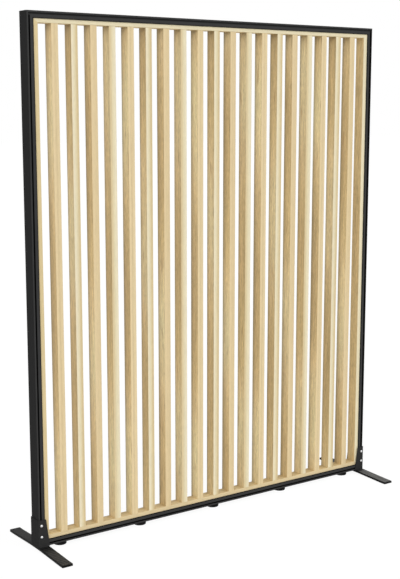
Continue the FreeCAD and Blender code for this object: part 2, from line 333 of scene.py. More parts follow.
class Recipe(NodeSheet):
    """A material that is written by code."""

    # The Mix node's sockets for its share and two colours, and for its result as a colour.
    MIX_INPUTS = (0, 6, 7)
    MIX_RESULT = 2

    def __init__(self, name: str) -> None:
        """Start an empty material.

        Args:
            name: Name of the finish.
        """
        self.material = bpy.data.materials.new(name)
        self.material.use_nodes = True
        super().__init__(self.material.node_tree)
        self.tree.nodes.clear()
        self.place = self.wire("ShaderNodeTexCoord", output="Object")

    def read(self, place: Wire, *patterns: Pattern) -> list[Wire]:
        """Values of soft random patterns.

        Args:
            place: Where they are read.
            patterns: The patterns.

        Returns:
            A value between 0 and 1 for each pattern.
        """
        values = []
        for pattern in patterns:
            where, scale = place, 1 / pattern.width
            if pattern.length:
                where = self.vector_maths("MULTIPLY", place, (scale, scale, 1 / pattern.length))
                scale = pattern.scale
            sockets = {
                "Vector": where,
                "Scale": scale,
                "Detail": pattern.detail,
                "Roughness": pattern.roughness,
            }
            values.append(self.wire("ShaderNodeTexNoise", {"noise_dimensions": "3D"}, sockets))
        return values

    def blend(
        self,
        share: Wire | float,
        first: Wire | Colour | str,
        second: Wire | Colour | str,
        kind: str = "MIX",
    ) -> Wire:
        """Mix of two colours.

        Args:
            share: How much of the second colour there is.
            first: First colour, or its code.
            second: Second colour, or its code.
            kind: Blender's name for the way of mixing.

        Returns:
            The mixed colour.
        """
        colours = [screen_colour(c) if isinstance(c, str) else c for c in (first, second)]
        settings = {"data_type": "RGBA", "blend_type": kind}
        sockets = dict(zip(self.MIX_INPUTS, (share, *colours)))
        return self.wire("ShaderNodeMix", settings, sockets, output=self.MIX_RESULT)

    def bump(self, height: Wire, depth: float, strength: float = 1.0) -> Wire:
        """Shading normal of a rough surface.

        Args:
            height: Height from 0 to 1.
            depth: Real depth of the whole height.
            strength: Share of the effect.

        Returns:
            The normal.
        """
        sockets = {"Strength": strength, "Distance": depth, "Height": height}
        return self.wire("ShaderNodeBump", sockets=sockets)

    def finish(self, sockets: dict[str, Any]) -> bpy.types.Material:
        """Close the material with one surface shader.

        Args:
            sockets: Values or wires of the shader.

        Returns:
            The material.
        """
        shader = self.wire("ShaderNodeBsdfPrincipled", sockets=sockets)
        self.node("ShaderNodeOutputMaterial", sockets={"Surface": shader})
        return self.material


class Grain(Enum):
    """Direction of a board's grain."""

    UPRIGHT = (0.0, 0.0, 0.0)
    LEVEL = (0.0, math.pi / 2, 0.0)


class BoardTone(Enum):
    """Tones of single boards: colours of the front at its left edge, middle and right edge."""

    WARM = ("EBD5A8", "DFC99C", "E8D3A6")
    CREAM = ("F1E6C6", "EADDB7", "DCC89A")
    HONEY = ("E8D2A5", "E3CDA0", "E2CC9F")
    PALE = ("E2CFA3", "EADDB6", "EFE4C3")
    LINER_LEFT = ("E0CC9B", "E0CC9B", "E0CC9B")
    LINER_RIGHT = ("EFE4C1", "EFE4C1", "EFE4C1")
    LINER_TOP = ("EBDFBB", "EBDFBB", "EBDFBB")
    LINER_BOTTOM = ("E2CEA3", "E2CEA3", "E2CEA3")
    INNER = ("C9A877", "C4A270", "BF9C6A")


@dataclass(frozen=True)
class Timber:
    """Light softwood with a clear matt lacquer, its tone chosen by each board's number, with painted
    shade on its sides.
    """

    name: str
    grain: Grain
    tones: tuple[BoardTone, ...]
    panel: Extent
    heart_stops: tuple[tuple[float, str], ...] = (
        (0.15, "D5BC8A"),
        (0.45, "E0C895"),
        (0.65, "E9D2A2"),
        (0.85, "EFDFB1"),
        (1.0, "ECE3B8"),
    )
    knot_colour: str = "A67F55"
    cloud: Pattern = Pattern(60 * MILLIMETRE, 2.0, length=380 * MILLIMETRE)
    band: Pattern = Pattern(9 * MILLIMETRE, 1.0, length=900 * MILLIMETRE)
    mark: Pattern = Pattern(14 * MILLIMETRE, 2.0, length=120 * MILLIMETRE)
    fibre: Pattern = Pattern(0.6 * MILLIMETRE, 4.0, 0.6, length=45 * MILLIMETRE)
    pore: Pattern = Pattern(0.6 * MILLIMETRE, 1.0, length=11.25 * MILLIMETRE, scale=1.3)
    fleck: Pattern = Pattern(4.5 * MILLIMETRE, 3.0, length=75 * MILLIMETRE)
    dot: Pattern = Pattern(3.5 * MILLIMETRE, 2.0, length=17 * MILLIMETRE)
    ring_width: float = 3.2 * MILLIMETRE
    ring_sway: float = 6 * MILLIMETRE
    pith_offset: float = 70 * MILLIMETRE
    board_shift: float = 410 * MILLIMETRE
    left_fade: Step = (-0.6, -0.1)
    right_fade: Step = (-0.1, 0.55)
    mark_step: Step = (0.62, 0.78)
    ring_step: Step = (-0.2, 1.0)
    streak_step: Step = (0.35, 0.75)
    pore_step: Step = (0.66, 0.78)
    band_step: Step = (0.35, 0.7)
    mark_share: float = 0.5
    cloud_share: float = 0.75
    heart_level: float = 0.5
    drift_level: float = 0.34
    patch_level: float = 0.7
    drift_length: float = 1300 * MILLIMETRE
    drift_step: float = 410 * MILLIMETRE
    drift_place: float = 1490 * MILLIMETRE
    face_skin: float = 1.2 * MILLIMETRE
    skin_share: float = 0.25
    # Painted shade on the sides: slope across the depth, rear, front arris and under the top.
    even_shade_slope: float = 0.18
    odd_shade_slope: float = -0.1
    rear_shade: float = 0.29
    front_shade: float = 0.055
    front_reach: float = 10 * MILLIMETRE
    top_shade: float = 0.36
    top_reach: float = 22 * MILLIMETRE
    clean_level: float = 1.02
    ring_loss: float = 0.06
    streak_loss: float = 0.06
    pore_loss: float = 0.1
    band_face_loss: float = 0.02
    band_side_loss: float = 0.05
    mark_face_loss: float = 0.18
    fleck_side_loss: float = 0.52
    dot_side_loss: float = 0.4
    tint: float = 0.995
    relief: float = 0.06 * MILLIMETRE
    ring_depth: float = 0.35
    streak_depth: float = 0.3
    pore_depth: float = 0.5
    roughness: float = 0.55
    streak_roughness: float = 0.1
    pore_roughness: float = 0.12
    coat_level: float = 0.08
    coat_roughness: float = 0.45
    gloss_level: float = 0.25

    def tone(self, recipe: Recipe, turn: Wire, colours: list[Colour]) -> Wire:
        """Colour that belongs to a board's turn in the row of tones.

        Args:
            recipe: Material in the making.
            turn: Which of the tones it is.
            colours: One colour for each tone.

        Returns:
            The colour.
        """
        count = len(colours)
        stops = [(i / count, colour) for i, colour in enumerate(colours)]
        made = recipe.node("ShaderNodeValToRGB", sockets={0: (turn + 0.5) / count})
        made.color_ramp.interpolation = "CONSTANT"
        recipe.set_stops(made.color_ramp, stops if count > 1 else [*stops, (1.0, colours[0])])
        return Wire(recipe, made.outputs["Color"])

    def face(self, recipe: Recipe, turn: Wire) -> Wire:
        """Colour of the boards' front and rear faces.

        Args:
            recipe: Material in the making.
            turn: Which of the tones it is.

        Returns:
            The colour.
        """
        across = recipe.wire("ShaderNodeAttribute", {"attribute_name": "across"}, output="Fac")
        rows = [[screen_colour(c) for c in row] for row in zip(*[t.value for t in self.tones])]
        left, middle, right = (self.tone(recipe, turn, row) for row in rows)
        colour = recipe.blend(across.rise(*self.left_fade), left, middle)
        return recipe.blend(across.rise(*self.right_fade), colour, right)

    def heart(self, recipe: Recipe, turn: Wire, level: Wire, patches: Wire, mark: Wire) -> Wire:
        """Colour of the boards' sides, which drifts slowly along the grain.

        Args:
            recipe: Material in the making.
            turn: Which of the tones it is.
            level: Place along the grain.
            patches: Soft patches.
            mark: Short darker marks.

        Returns:
            The colour.
        """
        per_metre = math.tau / self.drift_length
        angle = (level + turn * self.drift_step) * per_metre
        drift = (angle + math.pi / 2 - self.drift_place * per_metre).wave()
        share = self.heart_level + drift * self.drift_level + (patches - 0.5) * self.patch_level
        stops = [(place, screen_colour(code)) for place, code in self.heart_stops]
        colour = recipe.wire("ShaderNodeValToRGB", {"stops": stops}, {0: share}, output="Color")
        knots = mark.rise(*self.mark_step) * self.mark_share
        return recipe.blend(knots, colour, self.knot_colour)

    def side_painted_shade(self, recipe: Recipe, number: Wire) -> Wire:
        """Painted shade that makes the boards' sides darker than their faces, from place to place.

        Args:
            recipe: Material in the making.
            number: Number of the board.

        Returns:
            The share of light lost to painted shade: more at the rear and close under the top.
        """
        low, high = self.panel
        _, depth, level = recipe.parts(recipe.place)
        # Painted shade: slope across the depth, rear, front arris and under the top.
        slope = number % 2.0 * (self.odd_shade_slope - self.even_shade_slope) + self.even_shade_slope
        sloping = (depth.rise(low.y, high.y) - 0.5) * slope
        rear = depth.rise(0.0, high.y)
        front = depth.rise(low.y + self.front_reach, low.y)
        under_top_shade = recipe.maths("POWER", math.exp(-1 / self.top_reach), high.z - level)
        ends = rear * rear * self.rear_shade + front * self.front_shade
        return sloping + ends + under_top_shade * self.top_shade

    def rings(self, recipe: Recipe, place: Wire, number: Wire, cloud: Wire) -> Wire:
        """Late wood of the year rings, which run round a pith beside each board.

        Args:
            recipe: Material in the making.
            place: Place with the grain along Z.
            number: Number of the board.
            cloud: Soft patches that sway the rings.

        Returns:
            1 in the late wood and 0 in the early wood.
        """
        across_x, across_y, _ = recipe.parts(place)
        pith_x = across_x + number * self.pith_offset + self.pith_offset
        pith_y = across_y + self.pith_offset
        radius = recipe.maths("SQRT", pith_x * pith_x + pith_y * pith_y)
        rings = ((radius + cloud * self.ring_sway) * (math.tau / self.ring_width)).wave()
        return rings.rise(*self.ring_step)

    def build(self) -> bpy.types.Material:
        """Make the material.

        Returns:
            The finished material.
        """
        recipe = Recipe(self.name)
        low, high = self.panel
        number = recipe.wire("ShaderNodeAttribute", {"attribute_name": "board"}, output="Fac")
        turn = number % len(self.tones)
        shift = recipe.wire("ShaderNodeCombineXYZ", sockets={2: number * self.board_shift})
        sockets = {"Vector": recipe.place, "Rotation": self.grain.value}
        turned = recipe.wire("ShaderNodeMapping", sockets=sockets)
        place = recipe.vector_maths("ADD", turned, shift)
        cloud, band, mark = recipe.read(place, self.cloud, self.band, self.mark)
        fibre, pore, fleck, dot = recipe.read(place, self.fibre, self.pore, self.fleck, self.dot)
        streak, pores = fibre.rise(*self.streak_step), pore.rise(*self.pore_step)
        late_wood = self.rings(recipe, place, number, cloud)
        depth = recipe.parts(recipe.place)[1]
        skin = (depth - low.y).smaller(high.y - depth)
        front = skin.rise(self.face_skin, self.face_skin * self.skin_share)
        patches = cloud * self.cloud_share + band * (1 - self.cloud_share)
        sides = self.heart(recipe, turn, recipe.parts(turned)[2], patches, mark)
        colour = recipe.blend(front, sides, self.face(recipe, turn))
        side = 1 - front
        shade = self.clean_level - late_wood * self.ring_loss
        shade = shade - streak * self.streak_loss - pores * self.pore_loss
        band_loss = side * self.band_side_loss + self.band_face_loss
        shade = shade - band.rise(*self.band_step) * band_loss
        for spots, side_loss in ((fleck, self.fleck_side_loss), (dot, self.dot_side_loss)):
            shade = shade - (spots - 0.5) * (side * side_loss + self.mark_face_loss)
        # The sides take their painted shade here.
        shade = shade * (1 - side * self.side_painted_shade(recipe, number))
        tinted = shade * self.tint
        grey = recipe.wire("ShaderNodeCombineColor", sockets={0: shade, 1: tinted, 2: tinted})
        colour = recipe.blend(1.0, colour, grey, "MULTIPLY")
        height = 1 - late_wood * self.ring_depth - streak * self.streak_depth - pores * self.pore_depth
        dull = self.roughness + streak * self.streak_roughness + pores * self.pore_roughness
        return recipe.finish(
            {
                "Base Color": colour,
                "Roughness": dull,
                "Normal": recipe.bump(height, self.relief),
                "Coat Weight": self.coat_level,
                "Coat Roughness": self.coat_roughness,
                "Specular IOR Level": self.gloss_level,
            }
        )


@dataclass(frozen=True)
class PowderCoat:
    """Matt black powder coat with a fine orange peel; painted shade darkens its ends and grooves."""

    name: str
    outside: Extent
    grooved: bool
    colour: str = "393939"
    shaded_side_colour: str = "1F1F1F"
    groove_shade_colour: str = "060606"
    high_groove_shade_colour: str = "343434"
    crevice_shade_colour: str = "0C0C0C"
    lee_shade_colour: str = "121212"
    peel: Pattern = Pattern(0.9 * MILLIMETRE, 2.0)
    speck: Pattern = Pattern(0.25 * MILLIMETRE, 1.0)
    patch: Pattern = Pattern(160 * MILLIMETRE, 4.0, 0.65)
    patch_step: Step = (0.35, 0.75)
    speck_step: Step = (0.6, 0.8)
    patch_share: float = 0.25
    speck_share: float = 0.2
    dusty_gain: Colour = (1.7, 1.7, 1.7, 1.0)
    relief: float = 0.02 * MILLIMETRE
    peel_height: float = 0.7
    roughness: float = 0.55
    patch_roughness: float = 0.12
    speck_roughness: float = 0.06
    gloss_level: float = 0.05
    side_skin: float = 0.8 * MILLIMETRE
    groove_sink: float = 1.1 * MILLIMETRE
    groove_from: float = 3.3 * MILLIMETRE
    groove_to: float = 15.2 * MILLIMETRE
    lee_width: float = 6.3 * MILLIMETRE
    bar_width: float = 24 * MILLIMETRE
    crevice_width: float = 3.0 * MILLIMETRE
    sink_share: float = 0.6
    start_share: float = 0.9
    end_share: float = 1.03
    high_share: float = 1.1
    lee_share: float = 1.1
    lee_top_share: float = 1.3
    crevice_share: float = 0.6

    def from_edge(self, recipe: Recipe) -> Wire:
        """Distance from the outline of the whole frame.

        Args:
            recipe: Material in the making.

        Returns:
            The distance to the nearest outer edge.
        """
        low, high = self.outside
        x, _, z = recipe.parts(recipe.place)
        return (high.x - abs(x)).smaller((z - low.z).smaller(high.z - z))

    def inside_groove(self, recipe: Recipe) -> Wire:
        """Whether a place is inside the bars' groove.

        Args:
            recipe: Material in the making.

        Returns:
            1 inside the groove and 0 on the bars' outer faces.
        """
        from_edge = self.from_edge(recipe)
        from_face = self.outside[1].y - abs(recipe.parts(recipe.place)[1])
        behind_face = from_face.rise(self.groove_sink * self.sink_share, self.groove_sink)
        started = from_edge.rise(self.groove_from * self.start_share, self.groove_from)
        ended = from_edge.rise(self.groove_to, self.groove_to * self.end_share)
        return behind_face * started * (1 - ended)

    def paint_frame_shades(self, recipe: Recipe, colour: Wire) -> Wire:
        """Paint shade in the grooves, the crevice by the timber and the lip away from the lamps.

        Args:
            recipe: Material in the making.
            colour: Colour so far.

        Returns:
            The darkened colour.
        """
        high = self.outside[1]
        x, _, z = recipe.parts(recipe.place)
        # Painted shade on the right stile's outer lip, which is turned away from the lamps.
        lee = x.rise(high.x - self.lee_width * self.lee_share, high.x - self.lee_width)
        lee = lee * z.rise(high.z - self.lee_width, high.z - self.lee_width * self.lee_top_share)
        colour = recipe.blend(lee, colour, self.lee_shade_colour)
        # Painted shade in the grooves; the top rail's groove gets more light and is less dark.
        highest = z.rise(high.z - self.groove_to * self.high_share, high.z - self.groove_to)
        groove = recipe.blend(highest, self.groove_shade_colour, self.high_groove_shade_colour)
        colour = recipe.blend(self.inside_groove(recipe), colour, groove)
        # Painted shade: a dark line in the crevice between the frame and the timber.
        crevice_start = self.bar_width - self.crevice_width
        crevice_end = crevice_start + self.crevice_width * self.crevice_share
        crevice = self.from_edge(recipe).rise(crevice_start, crevice_end)
        return recipe.blend(crevice, colour, self.crevice_shade_colour)

    def build(self) -> bpy.types.Material:
        """Make the material.

        Returns:
            The finished material.
        """
        recipe = Recipe(self.name)
        peel, speck, patch = recipe.read(recipe.place, self.peel, self.speck, self.patch)
        outside = self.outside[1].x
        # Painted shade: the outer end faces take the darker side colour.
        side = abs(recipe.parts(recipe.place)[0]).rise(outside - self.side_skin, outside)
        base = recipe.blend(side, self.colour, self.shaded_side_colour)
        lighter = patch.rise(*self.patch_step) * self.patch_share
        lighter = lighter + speck.rise(*self.speck_step) * self.speck_share
        dusty = recipe.blend(1.0, base, self.dusty_gain, "MULTIPLY")
        colour = recipe.blend(lighter, base, dusty)
        if self.grooved:
            colour = self.paint_frame_shades(recipe, colour)
        height = peel * self.peel_height + speck * (1 - self.peel_height)
        dull = self.roughness + patch * self.patch_roughness + speck * self.speck_roughness
        return recipe.finish(
            {
                "Base Color": colour,
                "Roughness": dull,
                "Normal": recipe.bump(height, self.relief),
                "Specular IOR Level": self.gloss_level,
            }
        )


@dataclass(frozen=True)
class TexturedPaint:
    """Black paint on steel with fine marks across the bar, smooth with painted shade on the rims."""

    name: str
    bar: Extent
    colour: str
    rear_shade_colour: str
    shade_to: float
    rim_shade_colour: str = "050505"
    speck: Pattern = Pattern(0.3 * MILLIMETRE, 2.0)
    patch: Pattern = Pattern(90 * MILLIMETRE, 4.0, 0.6)
    sway: Pattern = Pattern(25 * MILLIMETRE, 2.0)
    ridge_pitch: float = 12.5 * MILLIMETRE
    ridge_sway: float = 9 * MILLIMETRE
    rim_width: float = 3.0 * MILLIMETRE
    rim_share: float = 0.5
    ridge_step: Step = (-0.6, 0.9)
    patch_step: Step = (0.4, 0.75)
    rear_step: Step = (-10 * MILLIMETRE, 30 * MILLIMETRE)
    ridge_share: float = 0.6
    patch_share: float = 0.2
    worn_gain: Colour = (3.2, 3.2, 3.1, 1.0)
    shade_from: float = 38 * MILLIMETRE
    shade_depth: float = 0.75
    relief: float = 0.1 * MILLIMETRE
    relief_strength: float = 0.7
    ridge_height: float = 0.6
    roughness: float = 0.44
    patch_roughness: float = 0.12
    speck_roughness: float = 0.08
    gloss_level: float = 0.1

    def rim(self, recipe: Recipe) -> Wire:
        """How near a place is to the outline of the bar's upper face.

        Args:
            recipe: Material in the making.

        Returns:
            1 on the rim and the upright faces and 0 inside it.
        """
        low, high = self.bar
        x, y, _ = recipe.parts(recipe.place)
        from_side = (x - low.x).smaller(high.x - x)
        from_end = high.y - abs(y)
        return from_side.smaller(from_end).rise(self.rim_width, self.rim_width * self.rim_share)

    def build(self) -> bpy.types.Material:
        """Make the material.

        Returns:
            The finished material.
        """
        recipe = Recipe(self.name)
        _, y, _ = recipe.parts(recipe.place)
        speck, patch, sway = recipe.read(recipe.place, self.speck, self.patch, self.sway)
        angle = (y + sway * self.ridge_sway) * (math.tau / self.ridge_pitch)
        ridges = angle.wave().rise(*self.ridge_step)
        # Painted shade: the bar darkens towards its rear end.
        base = recipe.blend(y.rise(*self.rear_step), self.colour, self.rear_shade_colour)
        worn = recipe.blend(1.0, base, self.worn_gain, "MULTIPLY")
        wear = patch.rise(*self.patch_step) * self.patch_share + ridges * self.ridge_share
        colour = recipe.blend(wear, base, worn)
        # Painted shadow of the shoe on the bar, fading out along the bar from the shoe.
        shoe_shadow = abs(y).rise(self.shade_to, self.shade_from) * self.shade_depth
        colour = recipe.blend(shoe_shadow, colour, BLACK)
        # Painted shade on the rims and the upright faces of the bar.
        colour = recipe.blend(self.rim(recipe), colour, self.rim_shade_colour)
        height = ridges * self.ridge_height + speck * (1 - self.ridge_height)
        dull = self.roughness + patch * self.patch_roughness + speck * self.speck_roughness
        return recipe.finish(
            {
                "Base Color": colour,
                "Roughness": dull,
                "Normal": recipe.bump(height, self.relief, self.relief_strength),
                "Specular IOR Level": self.gloss_level,
            }
        )


@dataclass(frozen=True)
class BareMetal:
    """Bare or plated metal with fine marks."""

    name: str
    colour: str
    dull_colour: str
    roughness: float
    marks: Pattern
    patch: Pattern
    relief: float
    patch_step: Step = (0.35, 0.7)
    mark_roughness: float = 0.12
    patch_roughness: float = 0.06

    def build(self) -> bpy.types.Material:
        """Make the material.

        Returns:
            The finished material.
        """
        recipe = Recipe(self.name)
        marks, patch = recipe.read(recipe.place, self.marks, self.patch)
        dull = self.roughness + marks * self.mark_roughness + patch * self.patch_roughness
        return recipe.finish(
            {
                "Base Color": recipe.blend(
                    patch.rise(*self.patch_step), self.colour, self.dull_colour
                ),
                "Metallic": 1.0,
                "Roughness": dull,
                "Normal": recipe.bump(marks, self.relief),
            }
        )


@dataclass(frozen=True)
class MouldedPlastic:
    """Black moulded plastic with a fine spark grain and light scuffs."""

    name: str
    colour: str = "0A0A0A"
    scuff_colour: str = "191918"
    grain: Pattern = Pattern(0.35 * MILLIMETRE, 2.0)
    scuff: Pattern = Pattern(5 * MILLIMETRE, 5.0, 0.7)
    scuff_step: Step = (0.56, 0.72)
    scuff_share: float = 0.6
    relief: float = 0.03 * MILLIMETRE
    roughness: float = 0.42
    grain_roughness: float = 0.1
    scuff_roughness: float = 0.15
    gloss_level: float = 0.12

    def build(self) -> bpy.types.Material:
        """Make the material.

        Returns:
            The finished material.
        """
        recipe = Recipe(self.name)
        grain, scuff = recipe.read(recipe.place, self.grain, self.scuff)
        scuff = scuff.rise(*self.scuff_step)
        dull = self.roughness + grain * self.grain_roughness + scuff * self.scuff_roughness
        return recipe.finish(
            {
                "Base Color": recipe.blend(
                    scuff * self.scuff_share, self.colour, self.scuff_colour
                ),
                "Roughness": dull,
                "Normal": recipe.bump(grain, self.relief),
                "Specular IOR Level": self.gloss_level,
            }
        )


CAST_METAL = BareMetal(
    name="cast aluminium",
    colour="C4C5C7",
    dull_colour="A9AAAC",
    roughness=0.45,
    marks=Pattern(0.6 * MILLIMETRE, 3.0, 0.6),
    patch=Pattern(30 * MILLIMETRE, 3.0),
    relief=0.08 * MILLIMETRE,
)
ZINC_PLATE = BareMetal(
    name="zinc plate",
    colour="C9CBC6",
    dull_colour="A8AAA2",
    roughness=0.3,
    marks=Pattern(0.4 * MILLIMETRE, 3.0, 0.6),
    patch=Pattern(6 * MILLIMETRE, 3.0),
    relief=0.02 * MILLIMETRE,
)
BRIGHT_STEEL = BareMetal(
    name="bright steel",
    colour="E6E6E6",
    dull_colour="CFCFCF",
    roughness=0.24,
    marks=Pattern(0.3 * MILLIMETRE, 3.0, 0.6),
    patch=Pattern(4 * MILLIMETRE, 3.0),
    relief=0.005 * MILLIMETRE,
)


class ShapeRule(NodeSheet):
    """A Geometry Nodes tree with named inputs, turned into a plain mesh."""

    KINDS = {int: "NodeSocketInt", float: "NodeSocketFloat", tuple: "NodeSocketVector"}
    MERGE_DISTANCE = 0.001 * MILLIMETRE

    def __init__(self, name: str, values: dict[str, Any], material: bpy.types.Material) -> None:
        """Start an empty tree.

        Args:
            name: Name of the piece that it makes.
            values: Inputs by name with their values.
            material: Finish of the piece.
        """
        super().__init__(bpy.data.node_groups.new(name, "GeometryNodeTree"))
        self.name = name
        self.values = values
        self.material = material
        self.tree.interface.new_socket("Geometry", in_out="OUTPUT", socket_type="NodeSocketGeometry")
        self.keys = {}
        for label, value in values.items():
            kind = self.KINDS[type(value)]
            socket = self.tree.interface.new_socket(label, in_out="INPUT", socket_type=kind)
            self.keys[label] = socket.identifier

    def inputs(self) -> list[Wire]:
        """The tree's inputs, in the order of their values."""
        entry = self.tree.nodes.new("NodeGroupInput")
        return [Wire(self, entry.outputs[label]) for label in self.values]

    def vector(self, x: Any = 0.0, y: Any = 0.0, z: Any = 0.0) -> Wire:
        """Vector from three values.

        Args:
            x: First part.
            y: Second part.
            z: Third part.

        Returns:
            The vector.
        """
        return self.wire("ShaderNodeCombineXYZ", sockets={0: x, 1: y, 2: z})

    def place(self) -> tuple[Wire, Wire, Wire]:
        """X, Y and Z of each point."""
        return self.parts(self.wire("GeometryNodeInputPosition"))

    def row(self, count: Wire, start: Wire, offset: Wire) -> Wire:
        """Row of points.

        Args:
            count: How many points there are.
            start: Place of the first point.
            offset: Way from one point to the next.

        Returns:
            The points.
        """
        sockets = {"Count": count, "Start Location": start, "Offset": offset}
        return self.wire("GeometryNodeMeshLine", {"mode": "OFFSET"}, sockets)

    def rod(self, sides: Wire, radius: Wire | float, length: Wire, steps: Wire | int = 1) -> Wire:
        """Rod along Z with its middle at the origin.

        Args:
            sides: How many faces go round it.
            radius: Its radius.
            length: Its length.
            steps: How many faces go along it.

        Returns:
            The closed rod.
        """
        sockets = {"Vertices": sides, "Side Segments": steps, "Radius": radius, "Depth": length}
        return self.wire("GeometryNodeMeshCylinder", {"fill_type": "NGON"}, sockets)

    def marked(self, shape: Wire, name: str, domain: str, value: Wire) -> Wire:
        """Shape with a number stored on it, which its material reads.

        Args:
            shape: Geometry or instances.
            name: Name of the number.
            domain: Blender's name for what carries it.
            value: The number.

        Returns:
            The marked shape.
        """
        settings = {"data_type": "FLOAT", "domain": domain}
        sockets = {"Geometry": shape, "Name": name, "Value": value}
        return self.wire("GeometryNodeStoreNamedAttribute", settings, sockets)

    def moved(self, shape: Wire, way: Wire) -> Wire:
        """Shape moved by a vector."""
        return self.wire("GeometryNodeTransform", sockets={"Geometry": shape, "Translation": way})

    def close(self, shape: Wire) -> None:
        """End the tree: plain geometry with its material.

        Args:
            shape: Finished geometry or instances.
        """
        plain = self.wire("GeometryNodeRealizeInstances", sockets={0: shape})
        sockets = {"Geometry": plain, "Material": self.material}
        done = self.wire("GeometryNodeSetMaterial", sockets=sockets)
        self.node("NodeGroupOutput", sockets={0: done})

    def make(self) -> bpy.types.Object:
        """Run the tree once and keep what it makes as a plain mesh.

        Returns:
            The piece, at the origin and without modifiers.
        """
        piece = new_object(self.name, bpy.data.meshes.new(self.name))
        rule = piece.modifiers.new(self.name, "NODES")
        rule.node_group = self.tree
        for label, key in self.keys.items():
            rule[key] = self.values[label]
        ready = piece.evaluated_get(bpy.context.evaluated_depsgraph_get())
        mesh = bpy.data.meshes.new_from_object(ready)
        piece.modifiers.clear()
        piece.data = mesh
        mesh.name = self.name
        self.turn_outwards(mesh)
        mesh.shade_smooth()
        mesh.set_sharp_from_angle(angle=SMOOTH_ANGLE)
        return piece

    def turn_outwards(self, mesh: bpy.types.Mesh) -> None:
        """Join doubled points and point every face outwards.

        Args:
            mesh: Mesh of closed shells.
        """
        work = bmesh.new()
        work.from_mesh(mesh)
        bmesh.ops.remove_doubles(work, verts=work.verts, dist=self.MERGE_DISTANCE)
        bmesh.ops.recalc_face_normals(work, faces=work.faces)
        work.to_mesh(mesh)
        work.free()


def slat_box() -> Extent:
    """Box of the first slat, whose depth and height are those of every slat."""
    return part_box("slat_01")


@dataclass
class SlatRow:
    """The row of upright slats, one closed board for each slat of the model."""

    boards: list[bpy.types.Object] = field(
        default_factory=lambda: nodes_named("slat_0") + nodes_named("slat_1")
    )
    edge_ease: float = 1.5 * MILLIMETRE
    edge_steps: int = 4
    tones: tuple[BoardTone, ...] = (BoardTone.WARM, BoardTone.CREAM, BoardTone.HONEY, BoardTone.PALE)

    def rule(self, material: bpy.types.Material) -> ShapeRule:
        """Tree that sets out the slats.

        Args:
            material: Finish of the slats.

        Returns:
            The finished tree.
        """
        low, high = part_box(self.boards[0].name)
        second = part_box(self.boards[1].name)[0]
        values = {
            "Count": len(self.boards),
            "First": ((low.x + high.x) / 2, (low.y + high.y) / 2, low.z),
            "Pitch": second.x - low.x,
            "Width": high.x - low.x,
            "Depth": high.y - low.y,
            "Height": high.z - low.z,
            "Ease": self.edge_ease,
            "Steps": self.edge_steps,
        }
        tree = ShapeRule("slats", values, material)
        count, first, pitch, width, depth, height, ease, steps = tree.inputs()
        section = tree.wire(
            "GeometryNodeCurvePrimitiveQuadrilateral",
            {"mode": "RECTANGLE"},
            {"Width": width, "Height": depth},
        )
        eased = tree.wire(
            "GeometryNodeFilletCurve",
            {"mode": "POLY"},
            {"Curve": section, "Count": steps, "Radius": ease},
        )
        path = tree.wire(
            "GeometryNodeCurvePrimitiveLine", {"mode": "POINTS"}, {"End": tree.vector(z=height)}
        )
        sockets = {"Curve": path, "Profile Curve": eased, "Fill Caps": True}
        board = tree.wire("GeometryNodeCurveToMesh", sockets=sockets)
        board = tree.marked(board, "across", "POINT", tree.place()[0] / (width / 2))
        sockets = {"Points": tree.row(count, first, tree.vector(x=pitch)), "Instance": board}
        boards = tree.wire("GeometryNodeInstanceOnPoints", sockets=sockets)
        number = tree.wire("GeometryNodeInputIndex")
        tree.close(tree.marked(boards, "board", "INSTANCE", number))
        return tree

    def build(self) -> list[bpy.types.Object]:
        """Make and place the slats.

        Returns:
            The one piece that holds every slat.
        """
        material = Timber("slat timber", Grain.UPRIGHT, self.tones, slat_box()).build()
        piece = self.rule(material).make()
        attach(piece, "frame")
        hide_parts(*[board.name for board in self.boards])
        return [piece]


@dataclass
class LinerBoards:
    """The four liner boards and the loose tongues in their mitres."""

    boards: dict[str, tuple[BoardTone, float]] = field(
        default_factory=lambda: {
            "liner_left": (BoardTone.LINER_LEFT, 0.3),
            "liner_right": (BoardTone.LINER_RIGHT, 0.25),
            "liner_top": (BoardTone.LINER_TOP, 0.5),
            "liner_bottom": (BoardTone.LINER_BOTTOM, 0.5),
            "mitre_tongues": (BoardTone.INNER, 0.2),
        }
    )
    drift_level: float = 0.1
    level: tuple[str, ...] = ("liner_top", "liner_bottom")

    def build(self) -> list[bpy.types.Object]:
        """Dress the liners.

        Returns:
            The dressed nodes.
        """
        low, high = slat_box()
        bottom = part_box("liner_bottom")[0].z
        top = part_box("liner_top")[1].z
        panel = (Vector((low.x, low.y, bottom)), Vector((high.x, high.y, top)))
        made = []
        for name, (tone, heart_level) in self.boards.items():
            grain = Grain.LEVEL if name in self.level else Grain.UPRIGHT
            finish = Timber(
                f"timber of {name}",
                grain,
                (tone,),
                panel,
                heart_level=heart_level,
                drift_level=self.drift_level,
                # The liners' inner faces take no painted shade.
                even_shade_slope=0.0,
                rear_shade=0.0,
                front_shade=0.0,
                top_shade=0.0,
            )
            made.append(dress(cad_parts[name], finish.build()))
        return made


@dataclass
class MetalFrame:
    """The four mitred lengths of extrusion, with their corner keys."""

    def build(self) -> list[bpy.types.Object]:
        """Dress the frame.

        Returns:
            The dressed nodes.
        """
        low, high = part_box("stile_left")
        half_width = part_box("stile_right")[1].x
        outside = (Vector((-half_width, low.y, low.z)), Vector((half_width, high.y, high.z)))
        coat = PowderCoat("black powder coat", outside, grooved=True).build()
        finishes = {"stile": coat, "rail": coat, "corner_key": CAST_METAL.build()}
        return [dress(node, finish) for name, finish in finishes.items() for node in nodes_named(name)]


